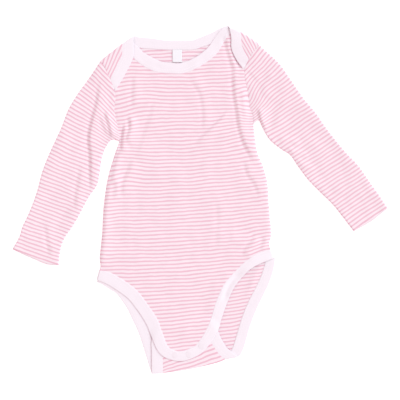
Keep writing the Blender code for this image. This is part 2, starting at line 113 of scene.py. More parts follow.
# The armhole seam across the end of each lap's binding, with the binding on its right.
LAP_END_LEFT = ((-113, 151), (-108.2, 139.8))
LAP_END_RIGHT = ((55.2, 163.6), (60, 174))

Grain = namedtuple("Grain", "x y angle bend", defaults=(0,))
Fold = namedtuple("Fold", "path left right height take_up slip", defaults=(0,))
Gather = namedtuple("Gather", "x y reach amount turn")
BACK_GRAIN = [Grain(*row) for row in (
    # place down the cut, the stripes' angle there, and by how much it grows in 100 mm to the right
    (0, 215, 0, -8), (0, 185, 0, -10), (0, 120, 2, 0), (0, 0, 4, 2), (0, -80, 3, 3),
    (0, -130, 6, 3), (0, -175, 8, 3), (0, -206, 7, 0), (0, -222, 1, 0))]
BACK_FOLDS = [Fold(*row) for row in (
    # path of its crest, width of its left and right side, height, cloth that it takes up, and slip:
    # how far the cloth is drawn along the crest
    (((60, -150), (66, -112), (72, -84)), 6, 9, 0.7, 0.5),
    (((58, -124), (72, -98), (82, -74)), 5, 8, 0.7, 0.5),
    (((-76, 172), (-40, 178), (0, 184)), 5, 9, 0.4, 0.3),
    (((-66, -160), (-60, -128), (-66, -100)), 8, 6, 0.7, 0.4),
    (((-30, -226), (-10, -224), (14, -232)), 4, 5, 0.7, 0.4))]


def run_of(line):
    """How far down a line each of its points is."""
    return np.append(0, np.cumsum(np.hypot(*np.diff(line[:, :2], axis=0).T)))


def places_on(line, lengths, spots):
    """The places on a line at some of the lengths that are given for its points."""
    return np.column_stack([np.interp(spots, lengths, column) for column in line.T])


def smooth(rows):
    """A smooth curve through the rows with evenly spaced points; a width goes with its point."""
    knots = np.array(rows, float)
    knots = np.vstack((2 * knots[0] - knots[1], knots, 2 * knots[-1] - knots[-2]))
    t = np.arange(FINE)[:, None] / FINE
    spans = [(2 * b + (c - a) * t + (2 * a - 5 * b + 4 * c - d) * t ** 2
              + (3 * b - a - 3 * c + d) * t ** 3) / 2
             for a, b, c, d in zip(knots, knots[1:], knots[2:], knots[3:])]
    line = np.vstack(spans + [knots[-2:-1]])
    lengths = run_of(line)
    spots = np.linspace(0, lengths[-1], max(2, math.ceil(lengths[-1] / STEP)) + 1)
    return places_on(line, lengths, spots)


def leftward(line):
    """The direction to the left of a line, at each of its points."""
    along = np.gradient(line[:, :2], axis=0)
    along /= np.hypot(*along.T)[:, None]
    return np.column_stack((-along[:, 1], along[:, 0]))


def beside(line, distance):
    """A line moved to its left, or to its right where the distance is below 0."""
    return line[:, :2] + leftward(line) * np.reshape(distance, (-1, 1))


def within(path, side, inset):
    """A line so far inside a binding's left (1) or right (-1) edge."""
    return beside(path, side * (path[:, 2] / 2 - inset))


def trim(line, point, normal):
    """The part of a line that lies behind an upright plane."""
    ahead = (line - point) @ normal
    kept = []
    for a, b, before, after in zip(line, line[1:], ahead, ahead[1:]):
        if before <= 0:
            kept.append(a)
        if before * after < 0:
            kept.append(a + (b - a) * before / (before - after))
    if ahead[-1] <= 0:
        kept.append(line[-1])
    return np.array(kept)


def nearest(points, line):
    """Each point's distance from a line, above 0 on its left, and how far down the line it is."""
    distance = np.full(len(points), np.inf)
    fraction = np.zeros(len(points))
    for i, (start, end) in enumerate(zip(line[:, :2], line[1:, :2])):
        side = end - start
        offset = points[:, :2] - start
        t = np.clip(offset @ side / (side @ side), 0, 1)
        apart = np.hypot(*(offset - t[:, None] * side).T)
        closer = apart < np.abs(distance)
        turn = side[0] * offset[:, 1] - side[1] * offset[:, 0]
        distance[closer] = np.where(turn < 0, -apart, apart)[closer]
        fraction[closer] = ((i + t) / (len(line) - 1))[closer]
    return distance, fraction


def distance_to(line, points):
    """Each point's distance from a line, on either side of it."""
    return np.abs(nearest(points, line)[0])


def ease(distance, start, width):
    """0 up to a start and 1 from a width beyond it on, with soft ends."""
    t = np.clip((distance - start) / width, 0, 1)
    return t * t * (3 - 2 * t)


def ruffle(points, folds):
    """How far the folds raise the cloth at each point, and how far they draw it aside. A ridge
    with a steep left side has a hollow at the foot of that side."""
    reach, slip_reach = 45.0, 8.0      # how far beside a fold the cloth is drawn to it, and slips
    steep, hollow = 3.0, 0.4           # width of a steep side, and the share that the hollow has
    ends = 0.24                        # share of its length over which a fold ends
    height = np.zeros(len(points))
    drawn = np.zeros((len(points), 2))
    for fold in folds:
        line = smooth(fold.path)
        distance, fraction = nearest(points, line)
        fade = ease(np.minimum(fraction, 1 - fraction), 0, ends)
        share = distance / np.where(distance > 0, fold.left, fold.right)
        height += fold.height * fade * np.exp(-share ** 2)
        if fold.left <= steep and fold.height > 0:
            foot = (distance - 2 * fold.left) / (0.8 * fold.left)
            height -= hollow * fold.height * fade * np.exp(-foot ** 2)
        pull = fold.take_up / 2 * fade * np.tanh(share) * np.exp(-(distance / reach) ** 2)
        along = (line[-1] - line[0]) / math.dist(line[-1], line[0])
        drawn += pull[:, None] * np.array((-along[1], along[0]))
        slipped = fold.slip * fade * np.exp(-np.abs(distance) / slip_reach)
        drawn -= slipped[:, None] * along
    return height, drawn


def gathered(points, gathers):
    """How far cloth is drawn towards a few places where it is bunched, and turned about them."""
    drawn = np.zeros((len(points), 2))
    for gather in gathers:
        offset = points - (gather.x, gather.y)
        fade = np.exp(-(offset ** 2).sum(axis=1) / gather.reach ** 2)[:, None]
        turned_by = math.radians(gather.turn) * offset @ ((0, -1), (1, 0))
        drawn += fade * (gather.amount * offset + turned_by)
    return drawn


def unevenness(points, *waves):
    """The small rise and fall of worn and washed cloth, from waves of a size, height and seed."""
    return sum(height * np.array([noise.noise(Vector((x / size, y / size, seed)))
                                  for x, y in points]) for size, height, seed in waves)


def waver(points, seed):
    """The wandering of stripes on soft cloth that was laid down by hand."""
    return np.column_stack([unevenness(points, (26, 1.1, seed + axis), (9, 0.35, seed + axis + 5))
                            for axis in (0, 1)])


def stripes(points, grain):
    """Each point's place on the knitted cloth: along the stripes, and down them as they fan."""
    rows = [(np.array((row.x, row.y)), math.radians(row.angle), math.radians(row.bend) / 100)
            for row in grain]
    ahead = []
    for place, angle, bend in rows:
        offset = points - place
        across = offset @ (math.cos(angle), math.sin(angle))
        ahead.append(offset @ (-math.sin(angle), math.cos(angle)) - bend * across ** 2 / 2)
    counts = [0.0]
    for (a, angle_a, _), (b, angle_b, _) in zip(rows, rows[1:]):
        angle = (angle_a + angle_b) / 2
        counts.append(counts[-1] + (b - a) @ (-math.sin(angle), math.cos(angle)))
    down = ahead[0].copy()
    for i in range(len(rows) - 1):
        apart = np.maximum(ahead[i + 1] - ahead[i], MERGE)
        between = counts[i] - ahead[i] / apart * (counts[i + 1] - counts[i])
        down = np.where(ahead[i] < 0, between, down)
    down = np.where(ahead[-1] < 0, counts[-1] + ahead[-1], down)
    lean = sum(angle for _, angle, _ in rows) / len(rows)
    return np.column_stack((points @ (math.cos(lean), math.sin(lean)), down))


class TurnedEdge:
    """A line over which the back's cloth is turned, so that it lies at a height above the rest."""
    bulge_reach = 30.0          # how far inside the line its bulge is felt

    def __init__(self, start, end, height, bulge, sinks=(0, 0, 1)):
        self.start = np.array(start, float)
        self.length = math.dist(start, end)
        self.along = np.subtract(end, start) / self.length
        self.outward = np.array((-self.along[1], self.along[0]))
        self.bulge = bulge
        self.radius = (height - BACK_LIES) / 2
        self.inset = self.radius + JERSEY / 2       # the bend starts so far inside the line
        self.bend = math.pi * self.radius
        self.sinks = sinks

    def inside(self, points):
        return (self.start - np.asarray(points)[..., :2]) @ self.outward

    def spread(self, rows):
        """Places on the turned cloth, as they are on the flat cut."""
        rows = np.array(rows, float)
        shift = 2 * self.inside(rows) + self.bend - 2 * self.inset
        rows[..., :2] += self.outward * shift[..., None]
        return rows

    def end_cut(self, seam):
        """The plane, as a point and a direction, of a seam across the turned cloth, laid flat."""
        start, end = self.spread(seam)
        normal = np.array((start[1] - end[1], end[0] - start[0])) / math.dist(start, end)
        return start, normal

    def lap_seam(self, armhole, corner):
        """A turned lap's edge along the armhole on the flat cut, from the fold to a corner."""
        flat = self.spread(self.lying(armhole))
        return flat[self.inside(flat) > self.inside(corner) + STEP / 2]

    def lying(self, line):
        """The part of a line that lies inside the bend."""
        return line[self.inside(line) > self.inset]

    def settled(self, past):
        """How far the turned cloth has come down, at a distance past its bend."""
        depth, start, length = self.sinks
        return depth * ease(past, start, length)

    def bulged(self, laid):
        """How far cloth near the line lies outside its place, as a turned edge is not straight."""
        share = np.clip((laid[:, :2] - self.start) @ self.along / self.length, 0, 1)
        bow = np.sqrt(np.sin(np.pi * share).clip(0))
        bow *= 1 - ease(self.inside(laid), 0, self.bulge_reach)
        return self.bulge * bow[:, None] * self.outward

    def turn(self, flat, lift):
        """How far beyond the bend each flat point is, and where it lies once turned over here."""
        beyond = self.inset - self.inside(flat)
        angle = np.clip(beyond, 0, self.bend) / self.radius
        past = beyond - self.bend
        out = (self.radius - lift) * np.sin(angle) - np.maximum(past, 0)
        up = self.radius - (self.radius - lift) * np.cos(angle) - self.settled(past)
        laid = flat + self.outward * (out - beyond)[:, None]
        return beyond, past, np.column_stack((laid, BACK_LIES + up))


SHOULDER_LEFT = TurnedEdge((-125, 173), (-86, 203), LAP_LIES, 0.8, LAP_SINKS)
SHOULDER_RIGHT = TurnedEdge((40, 214.5), (73.5, 194), LAP_LIES, 1.8, LAP_SINKS)
CROTCH = TurnedEdge((30, -201), (-66, -218.1), FLAP_LIES, 3.9)
TURNED_EDGES = (SHOULDER_LEFT, SHOULDER_RIGHT, CROTCH)

armhole_left = smooth(ARMHOLE_LEFT)
armhole_right = smooth(ARMHOLE_RIGHT)
side_left = smooth(SIDE_LEFT)
side_right = smooth(SIDE_RIGHT)
LAP_GATHERS = (
    # which lap, x and y where it lies on the front, reach, share drawn in, degrees turned
    (SHOULDER_LEFT, (-112, 160), 22, 0.35, 0), (SHOULDER_RIGHT, (62, 184), 20, 0.35, 0))
back_neck = smooth(np.vstack((SHOULDER_LEFT.spread(BACK_LAP_LEFT), BACK_NECK,
                              SHOULDER_RIGHT.spread(BACK_LAP_RIGHT))))
back_leg = smooth(np.vstack((BACK_LEG_LEFT, CROTCH.spread(BACK_FLAP), BACK_LEG_RIGHT)))


def seam_pull(points, seam, dip):
    """The groove along an armhole seam, and the small gathers that run out of it."""
    gather_height, gather_reach = 0.16, 6
    coarse, fine, shift = 62, 97, 1.3       # how closely two ripples follow the seam
    apart, fraction = nearest(points, seam)
    ripple = np.sin(fraction * coarse) + 0.6 * np.sin(fraction * fine + shift)
    gathers = gather_height * ripple * np.exp(-(np.abs(apart) / gather_reach) ** 1.5)
    return gathers - dip * (1 - ease(np.abs(apart), 0, SEAM_DIP_WIDTH))


def lay_back(flat, lift):
    """The back flat on the surface, and turned over at the shoulders and the crotch."""
    laid = np.column_stack((flat, BACK_LIES + lift))
    for edge, seam in zip(TURNED_EDGES, (armhole_left, armhole_right, None)):
        beyond, past, places = edge.turn(flat, lift)
        laid[beyond > 0] = places[beyond > 0]
        if seam is not None and (past > 0).any():
            laid[past > 0, 2] += seam_pull(places[past > 0], seam, BODY_DIP)
        laid[:, :2] += edge.bulged(laid)
    return laid


def cut_along(mesh, point, normal, near=MERGE, remove=False):
    """Cuts flat cloth along an upright plane, and takes away what lies beyond it if asked to."""
    bmesh.ops.bisect_plane(mesh, geom=mesh.verts[:] + mesh.edges[:] + mesh.faces[:], dist=near,
                           plane_co=(point[0], point[1], 0), plane_no=(normal[0], normal[1], 0),
                           clear_outer=remove)


def cut_cloth(outline, cell=CELL, rims=()):
    """A flat piece of cloth with the given outline, divided into rims and cells."""
    mesh = bmesh.new()
    face = mesh.faces.new([mesh.verts.new((x, y, 0)) for x, y in outline])
    for rim in rims:
        bmesh.ops.inset_region(mesh, faces=[face], thickness=rim, use_even_offset=True)
    for axis in (0, 1):
        normal = (1 - axis, axis)
        for place in np.arange(outline[:, axis].min() + cell, outline[:, axis].max(), cell):
            cut_along(mesh, place * np.array(normal), normal, cell / 8)
    return mesh


def cut_bends(mesh):
    """Cuts the flat back along the lines where it bends."""
    for edge in TURNED_EDGES:
        for i in range(BEND_CUTS + 1):
            distance = edge.bend * i / BEND_CUTS - edge.inset
            cut_along(mesh, edge.start + edge.outward * distance, edge.outward)


def points_of(mesh):
    return np.array([vertex.co for vertex in mesh.verts])


def put_in_scene(name, data):
    piece = bpy.data.objects.new(name, data)
    bpy.context.scene.collection.objects.link(piece)
    return piece


def keep_cut(mesh, cut):
    """Keeps each point's place on the cut, in metres, as the UV map that the pattern reads."""
    mesh.verts.index_update()
    layer = mesh.loops.layers.uv.new("cut")
    for face in mesh.faces:
        for loop in face.loops:
            loop[layer].uv = cut[loop.vert.index] * MM


def sew_up(name, mesh, laid, material, thickness, node=None):
    """Lays a piece of cloth, gives it its thickness and material, and names its body, and hides
    the node of the plain garment that it takes the place of."""
    for vertex, place in zip(mesh.verts, laid):
        vertex.co = place * MM
    bmesh.ops.remove_doubles(mesh, verts=mesh.verts, dist=MERGE * MM)
    bmesh.ops.recalc_face_normals(mesh, faces=mesh.faces)
    data = bpy.data.meshes.new(name)
    mesh.to_mesh(data)
    mesh.free()
    data.shade_smooth()
    data.materials.append(material)
    piece = put_in_scene(name, data)
    if thickness:
        wall = piece.modifiers.new("wall", "SOLIDIFY")
        wall.thickness = thickness * MM
        wall.offset = 0
    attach(piece, "root")
    if node:
        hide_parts(node)
    return piece


def feed(tree, socket, value):
    """Puts a number, a colour or another node's output on a socket."""
    if isinstance(value, bpy.types.NodeSocket):
        tree.links.new(value, socket)
    else:
        socket.default_value = value


def add_node(tree, kind, settings=None, **values):
    """A shader node with its settings, and with values on its inputs."""
    node = tree.nodes.new("ShaderNode" + kind)
    for setting, choice in (settings or {}).items():
        setattr(node, setting, choice)
    for label, value in values.items():
        feed(tree, node.inputs[label.replace("_", " ")], value)
    return node


def reckon(tree, operation, *values):
    """The output of a Math node."""
    node = add_node(tree, "Math", {"operation": operation})
    for socket, value in zip(node.inputs, values):
        feed(tree, socket, value)
    return node.outputs[0]


def mix(tree, first, second, share, way="MIX"):
    """The output of a Mix node on two colours."""
    node = add_node(tree, "Mix", {"data_type": "RGBA", "blend_type": way})
    for number, value in ((0, share), (6, first), (7, second)):
        feed(tree, node.inputs[number], value)
    return node.outputs[2]


def raised(tree, shader, height, strength, distance):
    """Gives a shader a height over its surface."""
    bump = add_node(tree, "Bump", Strength=strength, Distance=distance * MM, Height=height)
    feed(tree, shader.inputs["Normal"], bump.outputs[0])


def new_finish(name, **values):
    """A material with values on its shader: the material, its node tree and the shader."""
    material = bpy.data.materials.new(name)
    material.use_nodes = True
    shader = material.node_tree.nodes["Principled BSDF"]
    for label, value in values.items():
        shader.inputs[label.replace("_", " ")].default_value = value
    return material, material.node_tree, shader


def cotton_fuzz():
    """Node group: the short fibres of worn cotton, as a mottled shade and a fine rough height."""
    group = bpy.data.node_groups.new("cotton_fuzz", "ShaderNodeTree")
    for label, kind, way in (("Place", "Vector", "INPUT"), ("Color", "Color", "INPUT"),
                             ("Mottle", "Float", "INPUT"), ("Color", "Color", "OUTPUT"),
                             ("Height", "Float", "OUTPUT")):
        group.interface.new_socket(name=label, in_out=way, socket_type="NodeSocket" + kind)
    given = group.nodes.new("NodeGroupInput").outputs
    result = group.nodes.new("NodeGroupOutput").inputs
    patches = add_node(group, "TexNoise", Vector=given["Place"], Scale=90, Detail=3).outputs["Fac"]
    fibres = add_node(group, "TexNoise", Vector=given["Place"], Scale=900, Detail=4).outputs["Fac"]
    dim = reckon(group, "MULTIPLY", reckon(group, "ADD", patches, fibres), given["Mottle"])
    feed(group, result["Color"], mix(group, given["Color"], (0, 0, 0, 1), dim, "MULTIPLY"))
    feed(group, result["Height"], fibres)
    return group


FUZZ = cotton_fuzz()
WASHED_COTTON = {"Specular_IOR_Level": 0.2, "Sheen_Weight": 0.08, "Sheen_Roughness": 0.5}


def striped_jersey():
    """Single jersey in narrow yarn-dyed stripes, faded by washing: smooth V stitches in rows."""
    pitch, share, edge = 4.64, 0.40, 0.10          # one pink and one white stripe, in mm
    wale, course = 1.0, 0.8                        # width and height of a stitch
    pink = (0.800, 0.478, 0.577, 1)
    white = (0.878, 0.732, 0.793, 1)
    material, tree, shader = new_finish("striped_jersey", Roughness=0.92, **WASHED_COTTON)
    cut = add_node(tree, "UVMap", {"uv_map": "cut"}).outputs[0]
    axes = add_node(tree, "SeparateXYZ", Vector=cut).outputs
    wander = add_node(tree, "TexNoise", Vector=cut, Scale=160).outputs["Fac"]
    rows = reckon(tree, "MULTIPLY", axes["Y"], 1 / (pitch * MM))
    rows = reckon(tree, "ADD", rows, reckon(tree, "MULTIPLY", wander, 0.16))
    from_middle = reckon(tree, "SUBTRACT", reckon(tree, "FRACT", rows), 0.5)
    dyed = add_node(tree, "MapRange", {"interpolation_type": "SMOOTHSTEP"},
                    Value=reckon(tree, "ABSOLUTE", from_middle),
                    From_Min=share / 2 + edge / 2, From_Max=share / 2 - edge / 2).outputs[0]
    fuzz = add_node(tree, "Group", {"node_tree": FUZZ}, Place=cut, Mottle=0.06,
                    Color=mix(tree, white, pink, dyed))
    feed(tree, shader.inputs["Base Color"], fuzz.outputs["Color"])

    # A V stitch: the rows of loops lean one way and the other on each side of a wale.
    wales = reckon(tree, "MULTIPLY", axes["X"], 1 / (wale * MM))
    lean = reckon(tree, "PINGPONG", wales, 0.5)
    loops = reckon(tree, "ADD", reckon(tree, "MULTIPLY", axes["Y"], 1 / (course * MM)), lean)
    round_loops = reckon(tree, "SINE", reckon(tree, "MULTIPLY", loops, 2 * math.pi))
    groove = reckon(tree, "COSINE", reckon(tree, "MULTIPLY", wales, 2 * math.pi))
    knit = reckon(tree, "ADD", reckon(tree, "MULTIPLY", round_loops, 0.25),
                  reckon(tree, "MULTIPLY", groove, -0.25))
    surface = reckon(tree, "ADD", knit, reckon(tree, "MULTIPLY", fuzz.outputs["Height"], 0.5))
    raised(tree, shader, surface, 0.35, 0.12)
    return material


STRIPED = striped_jersey()


left_end = SHOULDER_LEFT.end_cut(LAP_END_LEFT)
right_end = SHOULDER_RIGHT.end_cut(LAP_END_RIGHT)
body_left = beside(armhole_left, -SEAM_LAP)
body_right = beside(armhole_right, SEAM_LAP)
back_edge = trim(trim(within(back_neck, -1, TUCK), *left_end), *right_end)
back_outline = np.vstack((
    back_edge,
    SHOULDER_RIGHT.lap_seam(body_right, back_edge[-1])[::-1],
    SHOULDER_RIGHT.lying(armhole_right),
    side_right[1:],
    within(back_leg, 1, TUCK)[::-1],
    side_left[:0:-1],
    SHOULDER_LEFT.lying(armhole_left)[::-1],
    SHOULDER_LEFT.lap_seam(body_left, back_edge[0])))
back_cloth = cut_cloth(back_outline)
cut_bends(back_cloth)
back_flat = points_of(back_cloth)[:, :2]
back_rise, back_drawn = ruffle(back_flat, BACK_FOLDS)
back_drawn += gathered(back_flat, [
    Gather(*edge.spread([place])[0], reach, amount, turn)
    for edge, place, reach, amount, turn in LAP_GATHERS])
to_binding = np.minimum(distance_to(back_neck, back_flat), distance_to(back_leg, back_flat))
back_rise *= ease(to_binding, *FOLDS_STOP)
back_rise += EDGE_LIFT * (1 - ease(to_binding, TUCK, EDGE_LIFT_WIDTH))
keep_cut(back_cloth, stripes(back_flat + back_drawn + waver(back_flat, 40), BACK_GRAIN))
back_panel = sew_up("back_panel_jersey", back_cloth, lay_back(back_flat, back_rise), STRIPED,
                    JERSEY, "back_panel")


# ================================================================ back bindings
# Strips of white cotton rib, each folded lengthwise round the raw edge of the back. One runs from
# lap to lap behind the neck, the other down one leg, round the crotch flap and up the other leg.
RIB = 0.6                   # thickness of the rib cloth
SEAM_PINCH = 8.0            # length over which a binding flattens into the seam at its end


def wave_scale(pitch):
    """The scale at which a Wave Texture node has one band in a pitch in millimetres."""
    return 2 * math.pi / (20 * pitch * MM)


def rib_binding():
    """White cotton rib: soft rounded ribs across the strip, a little fuzzy, faintly pink, and
    painted darker in the hollows between the ribs as painted shade.
    """
    # hollow and crest are shaded and lit copies of the rib's white: painted shade in the hollows
    # between ribs
    hollow, crest = (0.822, 0.722, 0.788, 1), (0.858, 0.768, 0.827, 1)
    material, tree, shader = new_finish("rib_binding", Roughness=0.9, **WASHED_COTTON)
    cut = add_node(tree, "UVMap", {"uv_map": "cut"}).outputs[0]
    ribs = add_node(tree, "TexWave", {"wave_type": "BANDS", "bands_direction": "X"}, Vector=cut,
                    Scale=wave_scale(1.15), Distortion=0.4, Detail_Scale=1.5).outputs["Fac"]
    # the painted shade follows the ribs' bands, darker where the bump is low
    fuzz = add_node(tree, "Group", {"node_tree": FUZZ}, Place=cut, Mottle=0.03,
                    Color=mix(tree, hollow, crest, ribs))
    feed(tree, shader.inputs["Base Color"], fuzz.outputs["Color"])
    surface = reckon(tree, "MULTIPLY_ADD", fuzz.outputs["Height"], 0.4, ribs)
    raised(tree, shader, surface, 0.35, 0.15)
    return material


RIBBED = rib_binding()


def binding_section(width, inner):
    """Across and up: from under the band's inner edge, round the outer fold, to the top edge.
    inner is 1 where the inner edge is on the left of the band's path, and -1 on the right."""
    half = width / 2
    radius = RIB / 2                  # the fold is pressed flat, and has no jersey in it
    swell = (BINDING - RIB) / 2 - radius
    slope = 4                         # width over which the band thins towards each edge
    drop = 0.12                       # how much lower it is beside the inner edge
    rounded = ((0.5, 0.16), (0.3, 0.32))    # the inner edge: how far in, and how much lower
    turn = half - radius - RIB / 2
    fold = [(turn + radius * math.cos(t), radius * math.sin(t))
            for t in np.linspace(-math.pi / 2, math.pi / 2, 8)[1:-1]]
    over = [(a, radius + swell * ease(turn - a, 0, slope) - drop * ease(slope - half - a, 0, slope))
            for a in np.linspace(turn, -half + 0.8, 14)]
    over += [(-half + inwards, radius + swell - lower) for inwards, lower in rounded]
    under = [(a, -up) for a, up in over[::-1]]
    return np.array(under + fold + over) * (-inner, 1)


def ruled_cloth(rows, columns):
    """A sheet of points in rows and columns, and which row and column each one is in."""
    mesh = bmesh.new()
    bmesh.ops.create_grid(mesh, x_segments=rows - 1, y_segments=columns - 1, size=0.5)
    places = (points_of(mesh)[:, :2] + 0.5) * (rows - 1, columns - 1)
    return mesh, *np.rint(places).astype(int).T


def bind(node, path, inner, lay, middle=0.0, cuts=(), bends=False):
    """A folded strip of rib along a path of x, y and width, laid with the panel that it binds."""
    top_wave = (11.0, 0.12, 7)         # size, height and seed of the unevenness of its top
    thinned = 0.6                      # share by which its pinched ends are thinner
    sections = np.array([binding_section(width, inner) for width in path[:, 2]])
    mesh, ring, spot = ruled_cloth(*sections.shape[:2])
    section = sections[ring, spot]
    lengths = run_of(path)
    girth = run_of(binding_section(path[:, 2].mean(), inner))
    keep_cut(mesh, np.column_stack((lengths[ring], girth[spot])))

    from_end = np.minimum(lengths[ring], lengths[-1] - lengths[ring])
    thin = 1 - thinned * (1 - ease(from_end, 0, SEAM_PINCH))
    flat = path[ring, :2] + leftward(path)[ring] * section[:, :1]
    uneven = unevenness(flat, top_wave) * (section[:, 1] > 0)
    lift = middle + (section[:, 1] + uneven) * thin
    for vertex, place, up in zip(mesh.verts, flat, lift):
        vertex.co = (*place, up)
    for point, normal in cuts:
        cut_along(mesh, point, normal, remove=True)
    if bends:
        cut_bends(mesh)
    spread = points_of(mesh)
    piece = sew_up(node + "_rib", mesh, lay(spread[:, :2], spread[:, 2]), RIBBED, RIB,
                   node)


lap_ends = [(place + SEAM_LAP * past, past) for place, past in (left_end, right_end)]
bind("neck_binding_back", back_neck, -1, lay_back, EDGE_LIFT, cuts=lap_ends, bends=True)
bind("leg_binding_back", back_leg, 1, lay_back, EDGE_LIFT, bends=True)


# ================================================================ label
# A blank tape of thin white satin, doubled, with its ends caught under the back neck's binding.
LABEL_X = -29.0
LABEL_TOP = 187.2
LABEL_BOTTOM = 171.6
LABEL_WIDTH = 12.0
LABEL_LIES = 1.33           # its lower layer
LABEL_ARCH = 0.15           # how far its middle stands up at its lower end
LABEL_SINKS = 0.2           # how far it comes down below the binding
TAPE = 0.25                 # thickness of the tape, and radius of its bend
TAPE_POINTS = (13, 41)      # across it and along it

label_tape, across_tape, along_tape = ruled_cloth(*TAPE_POINTS)
across_tape, along_tape = across_tape / across_tape.max(), along_tape / along_tape.max()
label_length = LABEL_TOP - LABEL_BOTTOM
doubled = along_tape * (2 * label_length + math.pi * TAPE)
bend_angle = np.clip((doubled - label_length) / TAPE, 0, math.pi)
label_y = LABEL_BOTTOM + np.where(doubled < label_length, label_length - doubled,
                                  np.maximum(doubled - label_length - math.pi * TAPE, 0))
label_y -= TAPE * np.sin(bend_angle)
label_x = LABEL_X + (across_tape - 0.5) * LABEL_WIDTH
label_z = LABEL_LIES + TAPE * (1 - np.cos(bend_angle))
arch = LABEL_ARCH * np.sin(math.pi * across_tape)
label_z += arch * ease(LABEL_TOP - label_y, 0, label_length)
label_z -= LABEL_SINKS * ease(LABEL_TOP - label_y, 8, 8)
keep_cut(label_tape, np.column_stack((label_x, doubled)))


def satin_tape():
    """Woven white tape with a fine cross grain and a slight sheen, its low threads painted darker
    as painted shade.
    """
    # low and high are shaded and lit copies of the tape's white: painted shade on the weave's low
    # threads
    low, high = (0.77, 0.73, 0.78, 1), (0.82, 0.78, 0.83, 1)
    material, tree, shader = new_finish("label", Roughness=0.6, Sheen_Weight=0.1)
    cut = add_node(tree, "UVMap", {"uv_map": "cut"}).outputs[0]
    weave = add_node(tree, "TexWave", {"wave_type": "BANDS", "bands_direction": "Y"}, Vector=cut,
                     Scale=wave_scale(0.3), Distortion=0.3).outputs["Fac"]
    # the painted shade follows the weave's bands, darker where the bump is low
    feed(tree, shader.inputs["Base Color"], mix(tree, low, high, weave))
    raised(tree, shader, weave, 0.3, 0.05)
    return material


label = sew_up("label_tape", label_tape, np.column_stack((label_x, label_y, label_z)),
               satin_tape(), TAPE, "label")


# ================================================================ front
# One piece of the striped jersey, from a low neck to the crotch. It lies on the back, sewn to it at
# the sides, with the laps on its shoulders, and rises over the flap and the snaps at its end.
FRONT_LIES = 2.4            # middle of the front's cloth
FRONT_OVER_BINDING = 1.95   # the same where it crosses the back's bindings
OVER_BINDING = (8, 14)      # how far from a binding's path it lies so, and over what width it rises
CROTCH_LIES = 3.8           # the same over the flap
FLAP_CLEARANCE = (3.0, 11.0)    # how far outside the flap's path it stays up, then comes down
SIDE_SEAM_LIES = 1.25       # the same at the side seams
SIDE_ROUNDING = 6.0         # width over which it comes down to its side seams
SEAM_AT_LEG = (4, 10)       # how far from its leg edge's path it starts to, and over what length
EVEN_AT_LEG = (6, 20)       # the same for its unevenness
FRONT_WAVES = ((34, 0.7, 3), (12, 0.3, 5))      # size, height and seed of its unevenness
SHOULDER_CLEARANCE = 6      # how far it stops inside the shoulder folds
FRONT_CELL = 1.5            # spacing of its mesh
FRONT_RIMS = (0.7, 1.2)     # widths of two strips of mesh beside its edge

FRONT_NECK = (
    # x, y, width of the binding from the left shoulder to the right one
    (-91, 192, 13), (-82.5, 186, 13.5), (-75, 178, 14), (-62.5, 170.2, 15.2),
    (-49.5, 165.3, 14.2), (-34, 163.7, 13.2), (-20, 164.5, 13.5), (-3, 172, 13),
    (11, 182, 13.5), (18.5, 190.5, 13.5), (24.5, 200.5, 12.8), (30.5, 208, 12), (37, 213, 10))
FRONT_LEG = (
    # x, y, width from the left side seam round the crotch to the right side seam
    (-128, -94.8, 12.5), (-118.1, -97.6, 15), (-106.4, -103.6, 15.5), (-86, -118.1, 15.5),
    (-72.8, -134.4, 15), (-61, -152.3, 15.5), (-54.4, -168.5, 15), (-45.8, -187.8, 14),
    (-33.5, -194.9, 12.7), (-20, -195.4, 12.8), (-3.1, -188.1, 12.5), (7, -176.5, 13),
    (15.8, -161.4, 14), (20, -149.4, 13), (25.3, -132.5, 13.5), (33.8, -112.3, 13.5),
    (41.9, -100.6, 12), (57.8, -84, 11.5), (71.9, -74.9, 13), (81.8, -71, 12.9),
    (90, -67.9, 12))
FRONT_GRAIN = [Grain(*row) for row in (
    (0, 188.8, 1.5, 1), (0, 150, 2.6, 1.8), (0, 100, 3, 2.4), (0, 60, 4, 3.9), (0, 0, 4.3, 3.3),
    (0, -60, 4.2, 3.9), (0, -100, 5, 4.6), (0, -140, 5.5, 3), (0, -180, 7, 4))]
